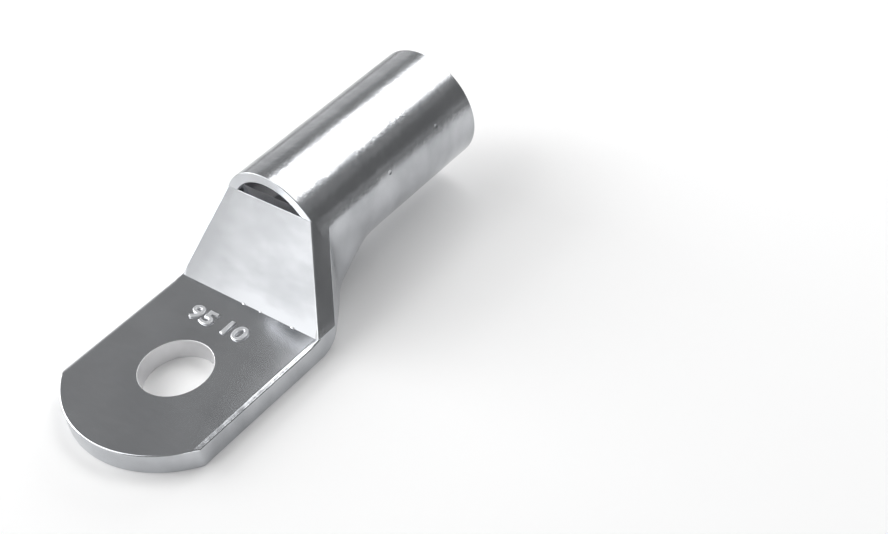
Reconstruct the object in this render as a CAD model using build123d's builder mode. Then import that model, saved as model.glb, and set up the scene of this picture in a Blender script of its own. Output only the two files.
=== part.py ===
from build123d import *
import math
import os

# Tubular cable lug, pressed from one length of tinned copper tube, in millimetres.
# The origin is the centre of the stud hole on the palm's underside. +X runs along
# the barrel to the cable, +Y to one side and +Z up from the face that is bolted down.

# Tube
tube_od = 18.0
wall = 1.6
barrel_length = 34.0  # from the sheared face to the open end
axis_z = 11.6  # barrel axis above the palm's underside

# Palm, two tube walls pressed together
palm_width = 26.8
stud_hole = 10.5
hole_to_corner = 8.7  # from the hole's centre to the front corners
hole_to_tip = 15.6  # from the hole's centre to the top of the front arc
hole_to_fold = 14.1
palm_edge_radius = 0.3

# Pressed slope between the palm and the barrel
slope_angle = 58.3
fold_to_shear = 7.9  # the run of the slope along the palm
pressed_edge = 2.9  # thickness across the slope where both walls are pressed together
shear_tilt = 12.0  # how far the flap's cut end leans back from level
flare = 0.05  # how much the cut opens the tube's inside, as far as just past the flap
flare_past_flap = 0.3

# Lower wall between the heel and the barrel
heel_radius = 2.9  # bottom corners under the fold and up to the back of the slope
corner_growth = 1.2  # how late the corners open out into the round tube
corner_run = 15.5  # from the heel to where they are as round as the tube
keel_flat = 6.0  # flat underside that carries on past the fold
keel_run = 15.4  # the rise of the underside from the palm to the barrel
tuck = 0.2  # how deep the pressed shape ends inside the round tube

# Deburred ends
mouth_chamfer = 0.5
rim_chamfer = 0.3

palm_thickness = 2 * wall
tube_radius = tube_od / 2
bore_radius = tube_radius - wall
half_palm = palm_width / 2
slope = math.radians(slope_angle)
shear_x = hole_to_fold + fold_to_shear
lip_z = palm_thickness + fold_to_shear * math.tan(slope)


def round_half_width(inset):
    """Half the tube's width at the height of the lip, inset from the outside."""
    return math.sqrt((tube_radius - inset) ** 2 - (lip_z - axis_z) ** 2)


# The flat flanks run from the palm's upper corners to the ends of the lip, which
# lie on the round of the tube.
flank_lean = (half_palm - round_half_width(0)) / (lip_z - palm_thickness)

# The rear corner of the pressed edge leaves the palm's upper corner at heel_x and
# climbs the flanks beside the slope, to the barrel's axis height at shoulder_x. The
# shoulders go on into the tube from there and are inside it at meet_x.
heel_x = hole_to_fold + pressed_edge / math.sin(slope)
shoulder_x = heel_x + (axis_z - palm_thickness) / math.tan(slope)
taper = math.tan(slope) * flank_lean
hidden_half = tube_radius - tuck
shoulder_drop = half_palm - (shoulder_x - heel_x) * taper - hidden_half
meet_x = shoulder_x + 2 * shoulder_drop / taper
keel_start = hole_to_fold + keel_flat
keel_end = keel_start + keel_run
sections_per_run = 5
above_all = 2 * tube_od


def ease(share):
    """A rise from 0 to 1 that starts and ends level."""
    return share**2 * (3 - 2 * share)


def keel_z(x):
    """Height of the underside's centre line, a smooth rise from palm to barrel."""
    return (axis_z - hidden_half) * ease(min(max(x - keel_start, 0) / keel_run, 1))


def shoulder_half_width(x):
    """Half the width of the lower wall at x, which meets the flanks at the rear corner."""
    if x <= shoulder_x:
        return half_palm - (x - heel_x) * taper
    return hidden_half + shoulder_drop * max((meet_x - x) / (meet_x - shoulder_x), 0) ** 2


def corner_radius(x):
    """Radius of the lower wall's bottom corners at x."""
    share = min(max(x - heel_x, 0) / corner_run, 1)
    return heel_radius + (hidden_half - tuck - heel_radius) * ease(share**corner_growth)


def stations(first, last, count):
    """Evenly spaced positions from first to last."""
    return [first + (last - first) * step / (count - 1) for step in range(count)]


def hull(inset, start):
    """The pressed lower wall between its flat flanks, inset from the outside."""
    runs = [
        [start, keel_start],
        stations(keel_start, meet_x, sections_per_run),
        stations(meet_x, keel_end, sections_per_run),
    ]
    with BuildPart() as body:
        for run in runs:
            for x in run:
                half_width = shoulder_half_width(x) - inset
                keel = keel_z(x) + inset
                with BuildSketch(Plane.YZ.offset(x)) as section:
                    with Locations((0, keel)):
                        Rectangle(
                            2 * half_width,
                            axis_z + half_width - keel,
                            align=(Align.CENTER, Align.MIN),
                        )
                    bottom_corners = section.vertices().group_by(Axis.Y)[0]
                    fillet(bottom_corners, max(corner_radius(x) - inset, palm_edge_radius))
                    top_corners = section.vertices().group_by(Axis.Y)[-1]
                    fillet(top_corners, half_width - tuck)
            loft()
        with BuildSketch(Plane.YZ.offset(start)):
            with BuildLine():
                Polyline(
                    (-half_palm + inset, -palm_thickness),
                    (half_palm - inset, -palm_thickness),
                    (half_palm - inset, palm_thickness),
                    (round_half_width(inset), lip_z),
                    (-round_half_width(inset), lip_z),
                    (-half_palm + inset, palm_thickness),
                    close=True,
                )
            make_face()
        extrude(amount=keel_end - start, mode=Mode.INTERSECT)
    return body.part


with BuildPart() as palm:
    with BuildSketch() as palm_plan:
        with BuildLine():
            side = Polyline(
                (-hole_to_corner, -half_palm),
                (hole_to_fold, -half_palm),
                (hole_to_fold, half_palm),
                (-hole_to_corner, half_palm),
            )
            ThreePointArc(side @ 0, (-hole_to_tip, 0), side @ 1)
        make_face()
    extrude(amount=palm_thickness)
    top_outline = palm.faces().sort_by(Axis.Z)[-1].edges().sort_by(Axis.X)[:-1]
    fillet(top_outline, palm_edge_radius)

with BuildPart() as transition:
    add(hull(0, hole_to_fold))
    with BuildSketch(Plane.XZ):
        with BuildLine():
            Polyline(
                (hole_to_fold, palm_thickness),
                (shear_x, lip_z),
                (shear_x, above_all),
                (-hole_to_tip, above_all),
                (-hole_to_tip, palm_thickness),
                close=True,
            )
        make_face()
    extrude(amount=palm_width, both=True, mode=Mode.SUBTRACT)

# The inside of the tube runs on under the flap until the two walls meet. The flap is
# one wall thick and ends at the cut that opens the inspection slit.
flap_run = wall / math.sin(slope + math.radians(shear_tilt))
flap_back_x = shear_x + flap_run * math.cos(math.radians(shear_tilt))
flap_back_z = lip_z - flap_run * math.sin(math.radians(shear_tilt))

bore_x = flap_back_x + flare_past_flap

with BuildPart() as cavity:
    add(hull(wall, heel_x))
    for x, radius in ((shear_x, bore_radius + flare), (bore_x, bore_radius)):
        with BuildSketch(Plane.YZ.offset(x)):
            with Locations((0, axis_z)):
                Circle(radius)
    loft()
    with BuildSketch(Plane.YZ.offset(bore_x)):
        with Locations((0, axis_z)):
            Circle(bore_radius)
    extrude(amount=shear_x + barrel_length - bore_x)
    with BuildSketch(Plane.XZ):
        with BuildLine():
            Polyline(
                (shear_x - wall, lip_z + wall * math.tan(math.radians(shear_tilt))),
                (flap_back_x, flap_back_z),
                (flap_back_x - flap_back_z / math.tan(slope), 0),
                (0, 0),
                (0, lip_z),
                close=True,
            )
        make_face()
    extrude(amount=palm_width, both=True, mode=Mode.SUBTRACT)

with BuildPart() as lug:
    add(palm.part)
    add(transition.part)
    with BuildSketch(Plane.YZ.offset(shear_x)):
        with Locations((0, axis_z)):
            Circle(tube_radius)
    extrude(amount=barrel_length)
    chamfer(lug.edges().filter_by(GeomType.CIRCLE).sort_by(Axis.X)[-1], rim_chamfer)
    add(cavity.part, mode=Mode.SUBTRACT)
    mouth = lug.faces().sort_by(Axis.X)[-1].inner_wires()[0].edges()
    chamfer(mouth, mouth_chamfer)
    Hole(stud_hole / 2)

os.makedirs("parts", exist_ok=True)
lug.part.label = "lug"
export_step(lug.part, "parts/lug.step")
print("volume", round(lug.part.volume, 1), "mm3, valid", lug.part.is_valid)
print("box", lug.part.bounding_box())
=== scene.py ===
"""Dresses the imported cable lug: its pressed tinned tube, its raised figures and the stage."""

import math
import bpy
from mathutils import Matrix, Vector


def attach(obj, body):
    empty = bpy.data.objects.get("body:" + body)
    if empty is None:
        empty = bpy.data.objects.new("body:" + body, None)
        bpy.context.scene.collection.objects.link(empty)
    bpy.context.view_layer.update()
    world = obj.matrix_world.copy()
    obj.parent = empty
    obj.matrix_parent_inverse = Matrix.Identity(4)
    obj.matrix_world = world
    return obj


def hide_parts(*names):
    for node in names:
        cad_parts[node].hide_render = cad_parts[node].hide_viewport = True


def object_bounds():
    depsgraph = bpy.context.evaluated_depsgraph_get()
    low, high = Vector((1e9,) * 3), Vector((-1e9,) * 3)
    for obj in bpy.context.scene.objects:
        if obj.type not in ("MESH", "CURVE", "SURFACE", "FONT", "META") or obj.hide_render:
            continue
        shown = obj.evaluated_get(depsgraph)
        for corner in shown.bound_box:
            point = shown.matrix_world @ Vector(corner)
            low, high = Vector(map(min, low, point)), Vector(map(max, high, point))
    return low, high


bl_info = {
    "name": "Cable lug",
    "version": (1, 0, 0),
    "blender": (4, 5, 0),
    "location": "3D View > Sidebar > Cable lug",
    "description": "Models a tubular cable lug in tinned copper around its packed frame",
    "category": "Add Mesh",
}

import bmesh
import bpy
from mathutils import Matrix, Vector

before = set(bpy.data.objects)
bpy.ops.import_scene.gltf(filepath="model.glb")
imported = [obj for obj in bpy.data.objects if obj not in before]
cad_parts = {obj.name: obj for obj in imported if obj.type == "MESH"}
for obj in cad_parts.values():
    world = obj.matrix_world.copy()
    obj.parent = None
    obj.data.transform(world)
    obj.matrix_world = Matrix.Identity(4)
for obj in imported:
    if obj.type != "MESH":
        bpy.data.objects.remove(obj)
CAD_LOW, CAD_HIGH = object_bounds()
MM = 0.001

# How bright the stage is, where 1 is white.
FLOOR_GLOW = 0.03
ROOM_LEVEL = 0.26
CARD_LEVEL = 0.16

# Half the floor's width in metres, and how far the floor lies under the lug.
FLOOR_HALF = 3.0
FLOOR_GAP = 0.02 * MM

# The upper edge of the white backdrop, by the sine of the height above the horizon.
BACKDROP_EDGE = (0.0, 0.08)

# Distances from the stud hole over which the floor turns dim in reflections, and those
# over which it turns white to the camera.
DIM_FLOOR = (45 * MM, 200 * MM)
WHITE_FLOOR = (70 * MM, 260 * MM)

# The soft lights round the lug stand at one distance from its middle. Each has its
# direction from +X and its height in degrees, its size in metres and its radiance.
LIGHT_MIDDLE = Vector((20, 0, 8)) * MM
LIGHT_DISTANCE = 0.6
ROUND_LIGHTS = {
    "key": (138, 47, (0.4, 0.36), 2.7),
    "back_left": (106, 22, (0.42, 0.46), 4.3),
    "back": (56, 14, (0.4, 0.26), 0.35),
    "back_right": (12, 14, (0.5, 0.26), 4.0),
    "wall": (153, 11, (0.3, 0.3), 1.3),
    "front": (235, 9, (0.42, 0.2), 2.0),
}
TOP_LIGHT_FOOT = Vector((0.325, -0.01, 0))
TOP_LIGHT_HEIGHT = Vector((0, 0, 0.4))
TOP_LIGHT_SIZE = (0.48, 0.27)
TOP_LIGHT_RADIANCE = 2.7

# Dark cards beside the lug: middle, half the length, half the height, and the height up
# to which a card fades in from the floor, in millimetres. Both face the lug the same way.
CARDS = (
    ((58, -59, 22), 110, 22, 26),
    ((27, -34, 9), 9, 9, 0.1),
)
CARD_WAY = Vector((0.543, -0.84, 0))

# Middles of the small dents in the barrel, in millimetres.
DENTS = ((37.3, -8.6, 14.2), (48.2, -8.3, 15.1))

# Places of the burrs across the fold and their radii, in millimetres, and how each is
# stretched along the lug, across it and up.
BURRS = ((0.8, 0.22), (-2.4, 0.16), (-8.5, 0.23))
BURR_STRETCH = (0.8, 1.6, 0.6)

# Thickness and rounding of the figures' strokes, for figures one unit high.
FIGURE_EDGE = 0.03

# How close points are before they are one, how short an edge is before it is dropped, and
# the angle under which two faces are one.
SAME_POINT = 0.004 * MM
SAME_POINT_IN_RING = 0.002 * MM
SLIVER = 0.002 * MM
FLAT = math.radians(0.05)

# Steps round one half of a section, from the keel up to the middle of the top.
KEEL_STEPS = 12
CORNER_STEPS = 12
SIDE_STEPS = 6
FLANK_STEPS = 6
TOP_STEPS = KEEL_STEPS + CORNER_STEPS
CORNER_START = KEEL_STEPS
CORNER_END = CORNER_START + CORNER_STEPS
REAR_CREASE = CORNER_END + SIDE_STEPS
FRONT_CREASE = REAR_CREASE + FLANK_STEPS
HALF_STEPS = FRONT_CREASE + TOP_STEPS
RING_STEPS = 2 * HALF_STEPS
HOLE_STEPS = 96


class LugSizes(bpy.types.PropertyGroup):
    """The sizes that the tube was cut and pressed to."""

    tube_od: bpy.props.FloatProperty(
        name="Tube", description="Outside diameter of the barrel", default=18 * MM, unit="LENGTH"
    )
    wall: bpy.props.FloatProperty(
        name="Wall", description="Thickness of the tube's wall", default=1.6 * MM, unit="LENGTH"
    )
    barrel_length: bpy.props.FloatProperty(
        name="Barrel length",
        description="From the sheared face to the open end",
        default=34 * MM,
        unit="LENGTH",
    )
    stud_hole: bpy.props.FloatProperty(
        name="Stud hole", description="Diameter of the hole", default=10.5 * MM, unit="LENGTH"
    )
    hole_to_corner: bpy.props.FloatProperty(
        name="Hole to corner",
        description="From the hole's centre to the front corners",
        default=8.7 * MM,
        unit="LENGTH",
    )
    slope_angle: bpy.props.FloatProperty(
        name="Slope",
        description="Angle of the pressed slope above the palm",
        default=math.radians(58.3),
        subtype="ANGLE",
    )
    fold_to_shear: bpy.props.FloatProperty(
        name="Fold to shear",
        description="Run of the slope along the palm",
        default=7.9 * MM,
        unit="LENGTH",
    )
    pressed_edge: bpy.props.FloatProperty(
        name="Pressed edge",
        description="Thickness across the slope where both walls meet",
        default=2.9 * MM,
        unit="LENGTH",
    )
    shear_tilt: bpy.props.FloatProperty(
        name="Shear tilt",
        description="How far the flap's cut end leans back from level",
        default=math.radians(12),
        subtype="ANGLE",
    )
    heel_radius: bpy.props.FloatProperty(
        name="Heel radius",
        description="Radius of the lower corners under the fold",
        default=2.9 * MM,
        unit="LENGTH",
    )
    corner_run: bpy.props.FloatProperty(
        name="Corner run",
        description="From the heel to where the corners are as round as the tube",
        default=15.5 * MM,
        unit="LENGTH",
    )
    keel_flat: bpy.props.FloatProperty(
        name="Flat underside",
        description="Flat underside that carries on past the fold",
        default=6 * MM,
        unit="LENGTH",
    )
    keel_run: bpy.props.FloatProperty(
        name="Rise of the underside",
        description="Run of the rise from the palm to the barrel",
        default=15.4 * MM,
        unit="LENGTH",
    )
    mouth_chamfer: bpy.props.FloatProperty(
        name="Mouth", description="Chamfer inside the open end", default=0.5 * MM, unit="LENGTH"
    )
    rim_chamfer: bpy.props.FloatProperty(
        name="Rim", description="Chamfer outside the open end", default=0.3 * MM, unit="LENGTH"
    )


class FigureSizes(bpy.types.PropertyGroup):
    """The plain figures raised on the palm."""

    words: bpy.props.StringProperty(
        name="Figures", description="Conductor and stud size", default="95 10"
    )
    height: bpy.props.FloatProperty(
        name="Height", description="Height of the figures", default=2.4 * MM, unit="LENGTH"
    )
    width: bpy.props.FloatProperty(
        name="Width", description="Width of the row of figures", default=10.4 * MM, unit="LENGTH"
    )
    relief: bpy.props.FloatProperty(
        name="Relief", description="How far they stand up", default=0.26 * MM, unit="LENGTH"
    )
    centre: bpy.props.FloatVectorProperty(
        name="Centre",
        description="Middle of the figures on the palm",
        default=(9.2 * MM, 1.1 * MM),
        size=2,
        unit="LENGTH",
    )


class FinishColours(bpy.types.PropertyGroup):
    """The colours of the tinned surface and of the stage."""

    tin: bpy.props.FloatVectorProperty(
        name="Tin",
        description="Colour of the tinned surface",
        default=(0.618, 0.632, 0.655),
        subtype="COLOR",
    )
    dull_tin: bpy.props.FloatVectorProperty(
        name="Dull tin",
        description="Colour where the tin is matt or stained",
        default=(0.49, 0.503, 0.524),
        subtype="COLOR",
    )
    # Matt tin inside the bore and on the stud hole's wall. Its colour is painted lighter than the
    # outer tin, as painted light standing in for the light that reaches in there.
    matt_tin_painted_light: bpy.props.FloatVectorProperty(
        name="Matt tin",
        description="Colour of the matt tin inside the bore and the stud hole",
        default=(0.8, 0.8, 0.81),
        subtype="COLOR",
    )
    floor: bpy.props.FloatVectorProperty(
        name="Floor", description="Colour of the floor", default=(0.91, 0.91, 0.91), subtype="COLOR"
    )


class StageSettings(bpy.types.PropertyGroup):
    """Where the camera stands and which way it looks."""

    camera_place: bpy.props.FloatVectorProperty(
        name="Camera",
        description="Place of the camera",
        default=(-80.205 * MM, -130.518 * MM, 141.106 * MM),
        unit="LENGTH",
    )
    heading: bpy.props.FloatProperty(
        name="Heading",
        description="Direction of view, turned from +X to +Y",
        default=math.radians(44.24),
        subtype="ANGLE",
    )
    down: bpy.props.FloatProperty(
        name="Down",
        description="How far the camera looks down",
        default=math.radians(40.71),
        subtype="ANGLE",
    )
    roll: bpy.props.FloatProperty(
        name="Roll",
        description="Roll of the camera about its line of sight",
        default=math.radians(-9.03),
        subtype="ANGLE",
    )
    lens: bpy.props.FloatProperty(
        name="Lens", description="Focal length in millimetres", default=61.39
    )


def ease(share):
    """A rise from 0 to 1 that starts and ends level."""
    return share**2 * (3 - 2 * share)


def clamp(value, low=0.0, high=1.0):
    """The value, kept between two limits."""
    return min(max(value, low), high)


def mix(first, second, share):
    """The value that lies a share of the way from the first to the second."""
    return first + (second - first) * share


def stations(first, last, steps):
    """Evenly spaced places after the first, up to and with the last."""
    return [mix(first, last, step / steps) for step in range(1, steps + 1)]


def soft_max(first, second, reach):
    """The larger of two values, rounded over where they differ by less than the reach."""
    nearness = max(reach - abs(first - second), 0) / reach
    return max(first, second) + nearness**2 * reach / 4


class LugForm:
    """What follows from the lug's sizes: its planes, and its section at any place along it."""

    tuck = 0.2 * MM  # how deep the pressed shape ends inside the round tube
    seam = 0.2 * MM  # how wide the seam between them is rounded over
    corner_growth = 1.2  # how late the lower corners open out into the tube
    least_corner = 0.3 * MM  # radius of a lower corner's inside where its outside is small
    flare = 0.05 * MM  # how much the shears opened the bore beside the slit
    rollover = 0.22 * MM  # how far the shears pulled the palm's top down at its outline

    def __init__(self, sizes):
        self.sizes = sizes
        self.mouth_x = CAD_HIGH.x
        self.tip_x = CAD_LOW.x
        self.half_palm = CAD_HIGH.y
        self.tube_radius = sizes.tube_od / 2
        self.bore_radius = self.tube_radius - sizes.wall
        self.hole_radius = sizes.stud_hole / 2
        self.axis_z = CAD_HIGH.z - self.tube_radius
        self.palm_top = 2 * sizes.wall
        self.shear_x = self.mouth_x - sizes.barrel_length
        self.fold_x = self.shear_x - sizes.fold_to_shear
        self.rise = math.tan(sizes.slope_angle)
        self.lip_z = self.palm_top + sizes.fold_to_shear * self.rise
        self.lip_half = math.sqrt(self.tube_radius**2 - (self.lip_z - self.axis_z) ** 2)
        self.flank_lean = (self.half_palm - self.lip_half) / (self.lip_z - self.palm_top)
        self.heel_x = self.fold_x + sizes.pressed_edge / math.sin(sizes.slope_angle)
        self.shoulder_x = self.heel_x + (self.axis_z - self.palm_top) / self.rise
        self.taper = self.rise * self.flank_lean
        self.hidden_half = self.tube_radius - self.tuck
        shoulder = self.half_palm - (self.shoulder_x - self.heel_x) * self.taper
        self.shoulder_drop = shoulder - self.hidden_half
        self.meet_x = self.shoulder_x + 2 * self.shoulder_drop / self.taper
        self.keel_start = self.fold_x + sizes.keel_flat
        self.keel_end = self.keel_start + sizes.keel_run
        flank = Vector((1, self.flank_lean)).normalized()
        self.flank_normal = flank
        self.flank_far = flank.dot(Vector((self.half_palm, self.palm_top - self.axis_z)))
        flap_run = sizes.wall / math.sin(sizes.slope_angle + sizes.shear_tilt)
        self.flap_back_x = self.shear_x + flap_run * math.cos(sizes.shear_tilt)
        self.flap_back_z = self.lip_z - flap_run * math.sin(sizes.shear_tilt)

    def keel_z(self, x):
        """Height of the underside's centre line."""
        share = clamp((x - self.keel_start) / self.sizes.keel_run)
        return (self.axis_z - self.hidden_half) * ease(share)

    def shoulder_half(self, x):
        """Half the width of the lower wall, before the palm's own width limits it."""
        if x <= self.shoulder_x:
            return self.half_palm - (x - self.heel_x) * self.taper
        share = max((self.meet_x - x) / (self.meet_x - self.shoulder_x), 0)
        return self.hidden_half + self.shoulder_drop * share**2

    def corner_radius(self, x):
        """Radius of the lower wall's bottom corners."""
        share = clamp((x - self.heel_x) / self.sizes.corner_run) ** self.corner_growth
        grown = self.hidden_half - self.tuck
        return mix(self.sizes.heel_radius, grown, ease(share))

    def crease_z(self, x):
        """Height of the crease at the back of the flat flanks."""
        return self.palm_top + max(x - self.heel_x, 0) * self.rise

    def slope_z(self, x):
        """Height of the slope, level with the palm in front of the fold."""
        return self.palm_top + max(x - self.fold_x, 0) * self.rise

    def flank_y(self, z):
        """Distance of the flat flank from the middle at a height."""
        return self.half_palm - (z - self.palm_top) * self.flank_lean

    def tip_curve_x(self, y):
        """Place of the palm's rounded end at a distance from the middle."""
        sagitta = -self.sizes.hole_to_corner - self.tip_x
        radius = (self.half_palm**2 + sagitta**2) / (2 * sagitta)
        return self.tip_x + radius - math.sqrt(radius**2 - min(abs(y), self.half_palm) ** 2)

    def pressed_point(self, x, step):
        """A point of the pressed section, by its step from the keel to the middle of the top."""
        half = min(self.shoulder_half(x), self.half_palm)
        keel = self.keel_z(x)
        corner = self.corner_radius(x)
        corner_y = self.shoulder_half(x) - corner
        swing = math.asin(clamp((half - corner_y) / corner))
        if x < self.fold_x:
            corner_y = half * KEEL_STEPS / TOP_STEPS
        if step <= CORNER_START:
            return Vector((corner_y * step / CORNER_START, keel))
        if step <= CORNER_END and x < self.fold_x:
            return Vector((half * step / TOP_STEPS, keel))
        if step <= CORNER_END:
            angle = swing * (step - CORNER_START) / CORNER_STEPS
            return Vector((corner_y + corner * math.sin(angle), keel + corner * (1 - math.cos(angle))))
        side_foot = keel if x < self.fold_x else keel + corner * (1 - math.cos(swing))
        crest = self.slope_z(x)
        edge_drop = self.rollover if x < self.fold_x else 0
        crease = self.crease_z(x) - edge_drop
        if step <= REAR_CREASE:
            share = (step - CORNER_END) / SIDE_STEPS
            return Vector((half, mix(side_foot, crease, share)))
        if step <= FRONT_CREASE:
            height = mix(crease, crest - edge_drop, (step - REAR_CREASE) / FLANK_STEPS)
            return Vector((min(self.flank_y(height), self.half_palm), height))
        share = (step - FRONT_CREASE) / TOP_STEPS
        return Vector((self.flank_y(crest) * (1 - share), crest))

    def hull_radius(self, x, angle, inset):
        """Distance from the barrel's axis to the pressed wall, by the angle from straight down."""
        way = Vector((math.sin(angle), -math.cos(angle)))
        half = self.shoulder_half(x) - inset
        depth = self.axis_z - self.keel_z(x) - inset
        corner = max(self.corner_radius(x) - inset, self.least_corner)
        centre = Vector((half - corner, corner - depth))
        far = self.tube_radius
        if way.x > 0:
            far = half / way.x
        if way.x <= 0 or way.y * far < centre.y:
            far = depth / -way.y
            if way.x * far > centre.x:
                along = way.dot(centre)
                far = along + math.sqrt(max(along**2 - centre.length_squared + corner**2, 0))
        facing = way.dot(self.flank_normal)
        if facing > 0:
            far = min(far, (self.flank_far - inset) / facing)
        if way.y > 0:
            far = min(far, (self.lip_z - self.axis_z) / way.y)
        return far

    def round_point(self, x, angle, inset, tube_radius):
        """A point of the section where the pressed wall runs into the round tube."""
        radius = tube_radius
        if x < self.keel_end:
            radius = soft_max(tube_radius, self.hull_radius(x, angle, inset), self.seam)
        return Vector((radius * math.sin(angle), self.axis_z - radius * math.cos(angle)))

    def crease_angle(self, x):
        """Angle of the rear crease about the barrel's axis."""
        return math.atan2(self.shoulder_half(x), self.axis_z - self.crease_z(x))

    def ring_angle(self, x, step):
        """Angle of a step behind the shear, spread more evenly towards the mouth."""
        anchors = (0, CORNER_START, CORNER_END, REAR_CREASE, FRONT_CREASE, HALF_STEPS)
        spread = ease(clamp((x - self.shear_x) / (self.keel_end - self.shear_x)))
        crease_end = self.shoulder_x + (self.meet_x - self.shoulder_x) / 2
        late = ease(clamp((x - crease_end) / (self.keel_end - crease_end)))
        angles = []
        for anchor in anchors:
            even = math.pi * anchor / HALF_STEPS
            if anchor in (0, HALF_STEPS):
                angles.append(even)
            elif anchor == REAR_CREASE:
                angles.append(mix(self.crease_angle(min(x, crease_end)), even, late))
            else:
                place = self.pressed_point(self.shear_x, anchor)
                natural = math.atan2(place.x, self.axis_z - place.y)
                angles.append(mix(natural, even, spread))
        for index in range(1, len(anchors)):
            if step <= anchors[index]:
                share = (step - anchors[index - 1]) / (anchors[index] - anchors[index - 1])
                return mix(angles[index - 1], angles[index], share)
        return math.pi


def mirrored(step):
    """The step on the +Y half that a step round the whole ring stands over, and its side."""
    if step <= HALF_STEPS:
        return step, 1
    return RING_STEPS - step, -1


def corners(part):
    """Where a vertex is, or the corners of an edge or a face, as a key to sort by."""
    verts = [part] if isinstance(part, bmesh.types.BMVert) else part.verts
    return sorted(tuple(vert.co) for vert in verts)


def put_in_order(bm):
    """Sorts a mesh by place, so that what follows comes out the same each time."""
    for parts in (bm.verts, bm.edges, bm.faces):
        parts.index_update()
        rank = {part.index: place for place, part in enumerate(sorted(parts, key=corners))}
        parts.sort(key=lambda part: rank[part.index])


def new_object(name, bm):
    """An object made from a bmesh, with its faces turned outwards."""
    bmesh.ops.recalc_face_normals(bm, faces=bm.faces)
    put_in_order(bm)
    mesh = bpy.data.meshes.new(name)
    bm.to_mesh(mesh)
    bm.free()
    made = bpy.data.objects.new(name, mesh)
    bpy.context.scene.collection.objects.link(made)
    return made


def start_ring(bm, x, section):
    """A capped ring of points numbered by their step, which later rings are extruded from."""
    place = bm.verts.layers.int.new("step")
    ring = bmesh.ops.create_circle(bm, cap_ends=True, segments=RING_STEPS, radius=MM)["verts"]
    for step, vert in enumerate(ring):
        vert[place] = step
    shape_ring(bm, ring, x, section)
    return list(bm.edges)


def shape_ring(bm, ring, x, section):
    """Puts each point of a ring where the section has it."""
    place = bm.verts.layers.int["step"]
    for vert in ring:
        step, side = mirrored(vert[place])
        point = section(x, step)
        vert.co = Vector((x, side * point.x, point.y))


def next_ring(bm, edges, x, section):
    """Extrudes the last ring to the next place along the lug and shapes it there."""
    extruded = bmesh.ops.extrude_edge_only(bm, edges=edges)["geom"]
    ring = {part for part in extruded if isinstance(part, bmesh.types.BMVert)}
    shape_ring(bm, ring, x, section)
    return [
        part
        for part in extruded
        if isinstance(part, bmesh.types.BMEdge) and set(part.verts) <= ring
    ]


def close_palm_tip(bm, edges, form):
    """Carries the last ring out to the palm's rounded end and walls it up."""
    place = bm.verts.layers.int["step"]
    ring = {vert for edge in edges for vert in edge.verts}
    for vert in ring:
        vert.co.x = form.tip_curve_x(vert.co.y)
    bmesh.ops.edgeloop_fill(bm, edges=edges)
    by_step = {vert[place]: vert for vert in ring}
    for step in range(TOP_STEPS):
        for side in (1, -1):
            low = by_step[side * step % RING_STEPS]
            high = by_step[HALF_STEPS - side * step]
            bmesh.ops.connect_verts(bm, verts=[low, high])


def make_outside(form):
    """The lug's whole outside as one closed skin, with no bore or hole yet.

    The rings run from the mouth to the palm, closer together where the form turns more.
    """
    rim = form.sizes.rim_chamfer

    def behind_shear(x, step):
        radius = form.tube_radius - max(x - form.mouth_x + rim, 0)
        return form.round_point(x, form.ring_angle(x, step), 0, radius)

    def at_shear(x, step):
        if step <= FRONT_CREASE:
            return form.pressed_point(x, step)
        return behind_shear(x, step)

    bm = bmesh.new()
    edges = start_ring(bm, form.mouth_x, behind_shear)
    edges = next_ring(bm, edges, form.mouth_x - rim, behind_shear)
    barrel = stations(form.mouth_x - rim, form.keel_end, 6)
    tail = stations(form.keel_end, form.meet_x, 18)
    shoulder = stations(form.meet_x, form.shear_x, 12)[:-1]
    for x in barrel + tail + shoulder:
        edges = next_ring(bm, edges, x, behind_shear)
    edges = next_ring(bm, edges, form.shear_x, at_shear)
    edges = next_ring(bm, edges, form.shear_x, form.pressed_point)
    slope = stations(form.shear_x, form.keel_start, 3) + stations(form.keel_start, form.heel_x, 4)
    heel = stations(form.heel_x, form.fold_x, 6)
    neck = [form.fold_x - form.sizes.wall, -form.sizes.hole_to_corner + form.sizes.wall]
    for x in slope + heel + neck:
        edges = next_ring(bm, edges, x, form.pressed_point)
    edges = next_ring(bm, edges, -form.sizes.hole_to_corner, form.pressed_point)
    close_palm_tip(bm, edges, form)
    bmesh.ops.remove_doubles(bm, verts=bm.verts, dist=SAME_POINT_IN_RING)
    return new_object("outside", bm)


def make_inside(form):
    """The hollow of the barrel and of the pressed wall under the flap."""
    reach = form.sizes.mouth_chamfer
    bore = form.bore_radius

    def section(x, step):
        flare = form.flare * clamp((form.flap_back_x - x) / (form.flap_back_x - form.shear_x))
        mouth = max(x - form.mouth_x + reach, 0)
        angle = math.pi * step / HALF_STEPS
        return form.round_point(x, angle, form.sizes.wall, bore + flare + mouth)

    bm = bmesh.new()
    edges = start_ring(bm, form.mouth_x + reach, section)
    places = [form.mouth_x - reach, form.keel_end]
    places += stations(form.keel_end, form.meet_x, 14)
    places += stations(form.meet_x, form.shear_x, 8)
    places += stations(form.shear_x, form.heel_x, 6)
    for x in places:
        edges = next_ring(bm, edges, x, section)
    bmesh.ops.edgeloop_fill(bm, edges=edges)
    return new_object("inside", bm)


def make_flap(form):
    """The pressed-down wall that the hollow leaves standing behind the slope."""
    sizes = form.sizes
    run = sizes.wall
    outline = (
        (form.shear_x - run, form.lip_z + run * math.tan(sizes.shear_tilt)),
        (form.flap_back_x, form.flap_back_z),
        (form.flap_back_x - form.flap_back_z / form.rise, 0),
        (0, 0),
        (0, form.lip_z),
    )
    bm = bmesh.new()
    verts = [bm.verts.new((x, -form.half_palm, z)) for x, z in outline]
    face = bmesh.ops.contextual_create(bm, geom=verts)["faces"][0]
    extruded = bmesh.ops.extrude_face_region(bm, geom=[face])["geom"]
    moved = [part for part in extruded if isinstance(part, bmesh.types.BMVert)]
    bmesh.ops.translate(bm, verts=moved, vec=(0, 2 * form.half_palm, 0))
    return new_object("flap", bm)


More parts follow.
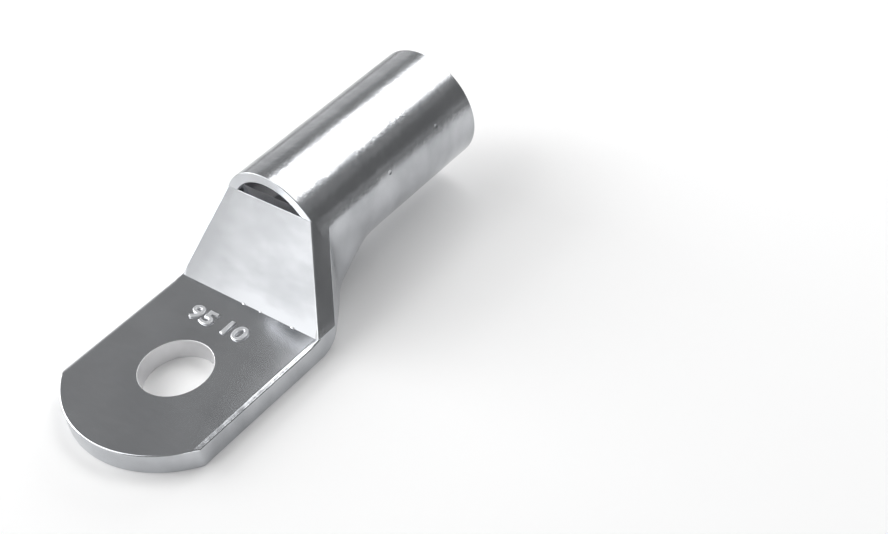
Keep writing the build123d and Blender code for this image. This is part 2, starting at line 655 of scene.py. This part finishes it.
def make_stud(form):
    """The round punch that makes the stud hole."""
    bm = bmesh.new()
    bmesh.ops.create_cone(
        bm,
        cap_ends=True,
        segments=HOLE_STEPS,
        radius1=form.hole_radius,
        radius2=form.hole_radius,
        depth=4 * form.palm_top,
    )
    return new_object("stud", bm)


def settle(target):
    """Makes an object's mesh what its modifiers show, and drops them."""
    graph = bpy.context.evaluated_depsgraph_get()
    mesh = bpy.data.meshes.new_from_object(target.evaluated_get(graph))
    old = target.data
    target.modifiers.clear()
    target.data = mesh
    mesh.name = target.name
    bpy.data.meshes.remove(old)


def cut(target, *tools):
    """Cuts the tools out of an object, and removes them."""
    for tool in tools:
        boolean = target.modifiers.new("cut", "BOOLEAN")
        boolean.operation = "DIFFERENCE"
        boolean.solver = "EXACT"
        boolean.object = tool
    settle(target)
    for tool in tools:
        bpy.data.objects.remove(tool)


class EdgeRounding:
    """How wide each sharp edge of the lug is rounded over."""

    palm_rim = 0.35 * MM
    hole_rim = 0.14 * MM
    crease = 0.24 * MM
    shear_rim = 0.16 * MM
    plain = 0.12 * MM
    widest = 0.4 * MM
    sharp = math.radians(17)
    near = 0.05 * MM

    def __init__(self, form):
        self.form = form

    def width(self, edge):
        """Width of the rounding on one edge."""
        form = self.form
        middle = (edge.verts[0].co + edge.verts[1].co) / 2
        side = abs(middle.y)
        on_fold = abs(middle.x - form.fold_x) < self.near and side < form.half_palm - self.near
        if middle.z > form.palm_top - form.rollover - self.near:
            if on_fold:
                return 0
            if middle.x < form.fold_x + self.near:
                from_hole = math.hypot(middle.x, middle.y)
                return self.hole_rim if from_hole < form.hole_radius + self.near else self.palm_rim
        under_palm_top = middle.z < form.palm_top - self.near
        if under_palm_top and form.fold_x - self.near < middle.x < form.shoulder_x:
            return 0
        if form.fold_x < middle.x < form.shear_x - self.near and side > form.lip_half:
            return self.crease
        if abs(middle.x - form.shear_x) < self.near:
            from_axis = math.hypot(middle.y, middle.z - form.axis_z)
            return self.shear_rim if from_axis > form.tube_radius - self.near else self.plain
        return self.plain

    def mark(self, bm):
        """Weights the sharp edges for the bevel that follows."""
        weight = bm.edges.layers.float.new("bevel_weight_edge")
        for edge in bm.edges:
            if len(edge.link_faces) == 2 and edge.calc_face_angle() > self.sharp:
                edge[weight] = self.width(edge) / self.widest
                edge.smooth = edge[weight] > 0


def round_edges(target, form):
    """Cleans the cut mesh and rounds its sharp edges."""
    bm = bmesh.new()
    bm.from_mesh(target.data)
    bmesh.ops.remove_doubles(bm, verts=bm.verts, dist=SAME_POINT)
    bmesh.ops.dissolve_degenerate(bm, edges=bm.edges, dist=SLIVER)
    bmesh.ops.dissolve_limit(bm, angle_limit=FLAT, verts=bm.verts, edges=bm.edges)
    EdgeRounding(form).mark(bm)
    bm.to_mesh(target.data)
    bm.free()
    rounding = target.modifiers.new("rounding", "BEVEL")
    rounding.limit_method = "WEIGHT"
    rounding.offset_type = "WIDTH"
    rounding.width = EdgeRounding.widest
    rounding.segments = 3
    rounding.profile = 0.5
    rounding.use_clamp_overlap = False
    rounding.harden_normals = True
    target.data.shade_smooth()
    settle(target)


class Socket:
    """A shader socket that Python expressions turn into Math nodes."""

    def __init__(self, maker, link):
        self.maker = maker
        self.link = link

    def _with(self, operation, first, second):
        return self.maker.node("ShaderNodeMath", {"operation": operation}, {0: first, 1: second})

    def __add__(self, other):
        return self._with("ADD", self, other)

    def __radd__(self, other):
        return self._with("ADD", other, self)

    def __sub__(self, other):
        return self._with("SUBTRACT", self, other)

    def __rsub__(self, other):
        return self._with("SUBTRACT", other, self)

    def __mul__(self, other):
        return self._with("MULTIPLY", self, other)

    def __rmul__(self, other):
        return self._with("MULTIPLY", other, self)


class Shader:
    """Adds nodes to one material or world."""

    def __init__(self, tree):
        self.tree = tree
        tree.nodes.clear()

    def node(self, kind, settings=None, inputs=None, output=0):
        """A node by its type, its settings and the values or links of its sockets."""
        made = self.tree.nodes.new(kind)
        for name, value in (settings or {}).items():
            setattr(made, name, value)
        for name, value in (inputs or {}).items():
            if isinstance(value, Socket):
                self.tree.links.new(value.link, made.inputs[name])
            elif value is not None:
                made.inputs[name].default_value = value
        return Socket(self, made.outputs[output]) if made.outputs else None

    def blend(self, share, first, second):
        """Two colours mixed by a share."""
        settings = {"data_type": "RGBA"}
        return self.node("ShaderNodeMix", settings, {0: share, 6: first, 7: second}, 2)

    def noise(self, where, scale, detail=3.0, rough=0.5):
        """A noise value over the surface."""
        inputs = {"Vector": where, "Scale": scale, "Detail": detail, "Roughness": rough}
        return self.node("ShaderNodeTexNoise", None, inputs)

    def between(self, value, low, high, to_low=0.0, to_high=1.0):
        """A value taken from one range to another, kept inside it."""
        inputs = {0: value, 1: low, 2: high, 3: to_low, 4: to_high}
        return self.node("ShaderNodeMapRange", {"clamp": True}, inputs)


def rgba(colour):
    """A colour with its alpha."""
    return (*colour, 1.0)


class TinPattern:
    """What changes over the tinned surface, by the place on the lug."""

    mottle_scale = 230.0
    cloud_scale = 90.0
    grain_scale = 2600.0
    ripple_scale = 130.0
    scuff_scale = 1000.0
    wear_scale = 190.0
    torn_scale = 520.0
    ripple_height = 1.2
    grain_height = 0.012
    scuff_height = 3.4
    torn_height = 3.0
    dent_depth = 3.5

    def __init__(self, shader, form):
        self.shader = shader
        self.form = form
        self.where = shader.node("ShaderNodeTexCoord", None, None, 3)
        self.along, side, self.up = (
            shader.node("ShaderNodeSeparateXYZ", None, {"Vector": self.where}, axis)
            for axis in range(3)
        )
        self.side = shader.node("ShaderNodeMath", {"operation": "ABSOLUTE"}, {0: side})
        self.grain = shader.noise(self.where, self.grain_scale, 3.0, 0.7)
        self.mottle = shader.noise(self.stretched(1.0, 0.3, 0.6), self.mottle_scale, 4.0, 0.55)

    def stretched(self, *factors):
        """The place scaled along each axis, where less than 1 draws a pattern out that way."""
        inputs = {"Vector": self.where, "Scale": factors}
        return self.shader.node("ShaderNodeMapping", None, inputs)

    def distance_from(self, factors, shift=(0.0, 0.0, 0.0)):
        """Distance from a line, where the factor along the line is 0 and the others are 1."""
        inputs = {0: self.where, 1: factors, 2: shift}
        offset = self.shader.node("ShaderNodeVectorMath", {"operation": "MULTIPLY_ADD"}, inputs)
        return self.shader.node("ShaderNodeVectorMath", {"operation": "LENGTH"}, {0: offset}, 1)

    def bored(self):
        """One inside the bore, from the back of the flap on."""
        from_axis = self.distance_from((0.0, 1.0, 1.0), (0.0, 0.0, -self.form.axis_z))
        edge = self.form.bore_radius
        start = self.form.shear_x + 1.4 * MM
        in_bore = self.shader.between(from_axis, edge + 0.2 * MM, edge + 0.1 * MM)
        return in_bore * self.shader.between(self.along, start, start + 0.6 * MM)

    def punched(self):
        """One on the wall of the stud hole."""
        from_hole = self.distance_from((1.0, 1.0, 0.0))
        edge = self.form.hole_radius
        return self.shader.between(from_hole, edge + 0.09 * MM, edge + 0.05 * MM)

    def brightness(self):
        """How bright the mottled tin is, from dull at 0 to bright at 1."""
        cloud = self.shader.noise(self.where, self.cloud_scale, 2.0)
        return self.shader.between(self.mottle * 0.6 + cloud * 0.4, 0.38, 0.6)

    def scuffs(self):
        """Short scuffs, on the upper part of the barrel and hardly elsewhere."""
        shader = self.shader
        shear_x = self.form.shear_x
        patches = shader.noise(self.where, self.wear_scale, 3.0)
        worn = shader.between(patches, 0.34, 0.6, 0.3, 1.0)
        worn = worn * shader.between(self.up, 9 * MM, 15 * MM, 0.04, 1.0)
        worn = worn * shader.between(self.along, shear_x, shear_x + 1 * MM, 0.1, 1.0)
        return shader.noise(self.stretched(1.6, 0.8, 0.8), self.scuff_scale, 3.0, 0.6) * worn

    def torn_edge(self):
        """The rough band along the palm's long edges, where the shears tore it."""
        half_palm = self.form.half_palm
        outer = self.shader.between(self.side, half_palm - 0.8 * MM, half_palm - 0.4 * MM)
        low = self.shader.between(self.up, 6 * MM, 5 * MM)
        return self.shader.noise(self.where, self.torn_scale, 2.0) * (outer * low)

    def dent(self, middle):
        """One in the middle of a small dent, and zero outside it."""
        inputs = {0: self.where, 1: middle}
        away = self.shader.node("ShaderNodeVectorMath", {"operation": "DISTANCE"}, inputs, 1)
        return self.shader.between(away, 0.05 * MM, 0.35 * MM, 1.0, 0.0)

    def height(self):
        """How far the surface stands up, in units of the bump's distance."""
        ripple = self.shader.noise(self.where, self.ripple_scale, 1.0)
        height = ripple * self.ripple_height + self.grain * self.grain_height
        height = height + self.scuffs() * self.scuff_height + self.torn_edge() * self.torn_height
        for middle in DENTS:
            height = height - self.dent(Vector(middle) * MM) * self.dent_depth
        return height


def tinned_copper(colours, form):
    """Bright tinned copper, softly mottled, with scuffs, small dents and a slight ripple."""
    material = bpy.data.materials.new("tinned_copper")
    material.use_nodes = True
    shader = Shader(material.node_tree)
    pattern = TinPattern(shader, form)
    bored = pattern.bored()
    punched = pattern.punched()
    outside = shader.blend(pattern.brightness(), rgba(colours.dull_tin), rgba(colours.tin))
    # The bore and the stud hole's wall get a rougher matt tin. Its lighter colour is painted light
    # standing in for the light that reaches in there.
    colour = shader.blend(bored + punched, outside, rgba(colours.matt_tin_painted_light))
    roughness = 0.17 + (bored + punched * 1.4) * 0.22
    roughness = roughness + shader.between(pattern.mottle, 0.35, 0.65, 0.07, 0.0)
    roughness = roughness + pattern.grain * 0.02
    inputs = {"Strength": 1.0, "Distance": 0.015 * MM, "Height": pattern.height()}
    bump = shader.node("ShaderNodeBump", None, inputs)
    surface = shader.node(
        "ShaderNodeBsdfPrincipled",
        None,
        {"Base Color": colour, "Metallic": 1.0, "Roughness": roughness, "Normal": bump},
    )
    shader.node("ShaderNodeOutputMaterial", None, {"Surface": surface})
    return material


def finish_piece(piece, material):
    """Gives a piece its finish and lets it ride with the lug."""
    piece.data.materials.clear()
    piece.data.materials.append(material)
    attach(piece, "root")


class CABLELUG_OT_body(bpy.types.Operator):
    """Models the lug's pressed tube, with its bore, slit and stud hole"""

    bl_idname = "cable_lug.body"
    bl_label = "Lug body"

    def execute(self, context):
        form = LugForm(context.scene.cable_lug_sizes)
        body = make_outside(form)
        inside = make_inside(form)
        cut(inside, make_flap(form))
        cut(body, inside, make_stud(form))
        round_edges(body, form)
        body.name = "lug_body"
        finish_piece(body, tinned_copper(context.scene.cable_lug_colours, form))
        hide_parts("lug")
        return {"FINISHED"}


class CABLELUG_OT_figures(bpy.types.Operator):
    """Raises the plain size figures on the palm"""

    bl_idname = "cable_lug.figures"
    bl_label = "Raised figures"

    def execute(self, context):
        sizes = context.scene.cable_lug_figures
        form = LugForm(context.scene.cable_lug_sizes)
        text = bpy.data.curves.new("raised_figures", "FONT")
        text.body = sizes.words
        text.align_x = "CENTER"
        text.align_y = "CENTER"
        text.size = 1.0
        flat = bpy.data.objects.new("figure_outline", text)
        context.scene.collection.objects.link(flat)
        context.view_layer.update()
        scale_x = sizes.width / flat.dimensions.x
        scale_y = sizes.height / flat.dimensions.y
        text.extrude = FIGURE_EDGE
        text.bevel_depth = FIGURE_EDGE
        text.bevel_resolution = 3
        graph = context.evaluated_depsgraph_get()
        mesh = bpy.data.meshes.new_from_object(flat.evaluated_get(graph))
        bpy.data.objects.remove(flat)
        lowest = min(vert.co.z for vert in mesh.vertices)
        highest = max(vert.co.z for vert in mesh.vertices)
        scale_z = 2 * sizes.relief / (highest - lowest)
        turn = Matrix(((0, scale_y, 0, 0), (-scale_x, 0, 0, 0), (0, 0, scale_z, 0), (0, 0, 0, 1)))
        place = Matrix.Translation((*sizes.centre, form.palm_top))
        mesh.transform(place @ turn)
        mesh.shade_smooth()
        figures = bpy.data.objects.new("raised_figures", mesh)
        context.scene.collection.objects.link(figures)
        finish_piece(figures, bpy.data.materials["tinned_copper"])
        return {"FINISHED"}


class CABLELUG_OT_burrs(bpy.types.Operator):
    """Leaves three small burrs along the fold, where the press tool closed"""

    bl_idname = "cable_lug.burrs"
    bl_label = "Burrs on the fold"

    def execute(self, context):
        form = LugForm(context.scene.cable_lug_sizes)
        bm = bmesh.new()
        for y, radius in BURRS:
            made = bmesh.ops.create_icosphere(bm, subdivisions=3, radius=radius * MM)["verts"]
            bmesh.ops.scale(bm, verts=made, vec=BURR_STRETCH)
            bmesh.ops.translate(bm, verts=made, vec=(form.fold_x, y * MM, form.palm_top))
        burrs = new_object("fold_burrs", bm)
        burrs.data.shade_smooth()
        finish_piece(burrs, bpy.data.materials["tinned_copper"])
        return {"FINISHED"}


def place_camera(settings):
    """The camera, by its heading, its look down and its roll."""
    heading, down, roll = settings.heading, settings.down, settings.roll
    flat_way = Vector((math.cos(heading), math.sin(heading), 0))
    forward = flat_way * math.cos(down) - Vector((0, 0, math.sin(down)))
    right = Vector((math.sin(heading), -math.cos(heading), 0))
    up = right.cross(forward)
    rolled_right = right * math.cos(roll) + up * math.sin(roll)
    rolled_up = up * math.cos(roll) - right * math.sin(roll)
    camera = bpy.data.objects.new("camera", bpy.data.cameras.new("camera"))
    camera.data.lens = settings.lens
    camera.data.clip_start = 0.01
    camera.data.clip_end = 20
    turn = Matrix((rolled_right, rolled_up, -forward)).transposed()
    camera.matrix_world = Matrix.Translation(settings.camera_place) @ turn.to_4x4()
    bpy.context.scene.collection.objects.link(camera)
    bpy.context.scene.camera = camera


def soft_light(name, place, aim, along, size, radiance):
    """A rectangular soft light that faces a point, with its first side along a direction."""
    lamp = bpy.data.lights.new(name, "AREA")
    lamp.shape = "RECTANGLE"
    lamp.size, lamp.size_y = size
    lamp.energy = radiance * math.pi * size[0] * size[1]
    light = bpy.data.objects.new(name, lamp)
    back = (Vector(place) - Vector(aim)).normalized()
    side = (Vector(along) - back * back.dot(Vector(along))).normalized()
    turn = Matrix((side, back.cross(side), back)).transposed()
    light.matrix_world = Matrix.Translation(place) @ turn.to_4x4()
    bpy.context.scene.collection.objects.link(light)


def round_light(name, azimuth, elevation, size, radiance):
    """A soft light that stands round the lug, by its direction from it in degrees."""
    turn, lift = math.radians(azimuth), math.radians(elevation)
    way = Vector((math.cos(lift) * math.cos(turn), math.cos(lift) * math.sin(turn), math.sin(lift)))
    place = LIGHT_MIDDLE + way * LIGHT_DISTANCE
    soft_light(name, place, LIGHT_MIDDLE, (way.y, -way.x, 0), size, radiance)


def ray_is(shader, *kinds):
    """One where a ray is of any of these kinds, and zero elsewhere."""
    path = shader.tree.nodes.new("ShaderNodeLightPath")
    total = Socket(shader, path.outputs[kinds[0]])
    for kind in kinds[1:]:
        total = total + Socket(shader, path.outputs[kind])
    return total


def floor_material(colours):
    """A pale matt floor that keeps the lug's shadow and runs out into the white backdrop.

    Reflections show it dim instead, further off, like the room.
    """
    material = bpy.data.materials.new("floor")
    material.use_nodes = True
    shader = Shader(material.node_tree)
    seen = ray_is(shader, "Is Camera Ray", "Is Glossy Ray", "Is Transmission Ray")
    matt = shader.node("ShaderNodeBsdfDiffuse", None, {"Color": rgba(colours.floor)})
    glow = shader.node("ShaderNodeEmission", None, {"Strength": seen * FLOOR_GLOW})
    lit = shader.node("ShaderNodeAddShader", None, {0: matt, 1: glow})
    where = shader.node("ShaderNodeTexCoord", None, None, 3)
    away = shader.node("ShaderNodeVectorMath", {"operation": "LENGTH"}, {0: where}, 1)
    dim = shader.node("ShaderNodeEmission", None, {"Strength": ROOM_LEVEL})
    share = ray_is(shader, "Is Glossy Ray") * shader.between(away, *DIM_FLOOR)
    dimmed = shader.node("ShaderNodeMixShader", None, {0: share, 1: lit, 2: dim})
    white = shader.node("ShaderNodeEmission", None, {"Strength": 1.0})
    share = ray_is(shader, "Is Camera Ray") * shader.between(away, *WHITE_FLOOR)
    whole = shader.node("ShaderNodeMixShader", None, {0: share, 1: dimmed, 2: white})
    shader.node("ShaderNodeOutputMaterial", None, {"Surface": whole})
    return material


def make_floor(colours):
    """The floor, a hair under the lug."""
    bm = bmesh.new()
    bmesh.ops.create_grid(bm, x_segments=1, y_segments=1, size=FLOOR_HALF)
    bmesh.ops.translate(bm, verts=bm.verts, vec=(0, 0, -FLOOR_GAP))
    floor = new_object("floor", bm)
    floor.data.materials.append(floor_material(colours))
    return floor


def studio_world():
    """A dim, even room that is white to the camera.

    The backdrop round its foot is white in mirrors and glass too.
    """
    world = bpy.data.worlds.new("studio")
    bpy.context.scene.world = world
    world.use_nodes = True
    shader = Shader(world.node_tree)
    seen = ray_is(shader, "Is Camera Ray")
    reflected = ray_is(shader, "Is Glossy Ray", "Is Transmission Ray")
    way = shader.node("ShaderNodeTexCoord", None, None, 3)
    lift = shader.node("ShaderNodeSeparateXYZ", None, {"Vector": way}, 2)
    backdrop = shader.between(lift, *BACKDROP_EDGE, 1.0, ROOM_LEVEL)
    strength = seen + reflected * backdrop + (1 - seen - reflected) * ROOM_LEVEL
    glow = shader.node("ShaderNodeBackground", None, {"Color": (1, 1, 1, 1), "Strength": strength})
    shader.node("ShaderNodeOutputWorld", None, {"Surface": glow})


def card_material(fade):
    """An even dark glow that fades in from the floor upwards."""
    material = bpy.data.materials.new("dark_card")
    material.use_nodes = True
    shader = Shader(material.node_tree)
    where = shader.node("ShaderNodeTexCoord", None, None, 3)
    up = shader.node("ShaderNodeSeparateXYZ", None, {"Vector": where}, 2)
    share = shader.between(up, 0, fade)
    dark = shader.node("ShaderNodeEmission", None, {"Strength": CARD_LEVEL})
    clear = shader.node("ShaderNodeBsdfTransparent")
    both = shader.node("ShaderNodeMixShader", None, {0: share, 1: clear, 2: dark})
    shader.node("ShaderNodeOutputMaterial", None, {"Surface": both})
    return material


def dark_card(middle, half_length, half_height, fade):
    """A dark card beside the lug that only its reflections show, as a studio flag."""
    bm = bmesh.new()
    bmesh.ops.create_grid(bm, x_segments=1, y_segments=1, size=1.0)
    bmesh.ops.scale(bm, verts=bm.verts, vec=(half_length, half_height, 1))
    way = CARD_WAY.normalized()
    up = Vector((0, 0, 1))
    turn = Matrix((up.cross(way), up, -way)).transposed().to_4x4()
    bmesh.ops.transform(bm, matrix=Matrix.Translation(middle) @ turn, verts=bm.verts)
    card = new_object("dark_card", bm)
    card.data.materials.append(card_material(fade))
    for ray in ("camera", "diffuse", "shadow", "transmission", "volume_scatter"):
        setattr(card, "visible_" + ray, False)
    return card


class CABLELUG_OT_stage(bpy.types.Operator):
    """Sets up the pale floor, the soft lights and the camera"""

    bl_idname = "cable_lug.stage"
    bl_label = "Stage"

    def execute(self, context):
        floor = make_floor(context.scene.cable_lug_colours)
        for middle, *sizes in CARDS:
            dark_card(Vector(middle) * MM, *(size * MM for size in sizes))
        for name, settings in ROUND_LIGHTS.items():
            round_light(name, *settings)
        place = TOP_LIGHT_FOOT + TOP_LIGHT_HEIGHT
        soft_light("top", place, TOP_LIGHT_FOOT, (0, 1, 0), TOP_LIGHT_SIZE, TOP_LIGHT_RADIANCE)
        studio_world()
        place_camera(context.scene.cable_lug_stage)
        context.scene.view_settings.view_transform = "Standard"
        return {"FINISHED"}


class CABLELUG_PT_sidebar(bpy.types.Panel):
    """Lists the lug's pieces and its stage"""

    bl_idname = "CABLELUG_PT_sidebar"
    bl_label = "Cable lug"
    bl_space_type = "VIEW_3D"
    bl_region_type = "UI"
    bl_category = "Cable lug"

    def draw(self, context):
        for kind in OPERATORS:
            self.layout.operator(kind.bl_idname)


GROUPS = {
    "cable_lug_sizes": LugSizes,
    "cable_lug_figures": FigureSizes,
    "cable_lug_colours": FinishColours,
    "cable_lug_stage": StageSettings,
}
OPERATORS = (CABLELUG_OT_body, CABLELUG_OT_figures, CABLELUG_OT_burrs, CABLELUG_OT_stage)


def register():
    """Adds the lug's settings, operators and panel to Blender."""
    for kind in (*GROUPS.values(), *OPERATORS, CABLELUG_PT_sidebar):
        bpy.utils.register_class(kind)
    for name, kind in GROUPS.items():
        setattr(bpy.types.Scene, name, bpy.props.PointerProperty(type=kind))


def unregister():
    """Takes them out again."""
    for name in GROUPS:
        delattr(bpy.types.Scene, name)
    for kind in reversed((*GROUPS.values(), *OPERATORS, CABLELUG_PT_sidebar)):
        bpy.utils.unregister_class(kind)


def main():
    """Makes the lug's pieces and the stage."""
    register()
    bpy.ops.cable_lug.body()
    bpy.ops.cable_lug.figures()
    bpy.ops.cable_lug.burrs()
    bpy.ops.cable_lug.stage()


if __name__ == "__main__":
    main()
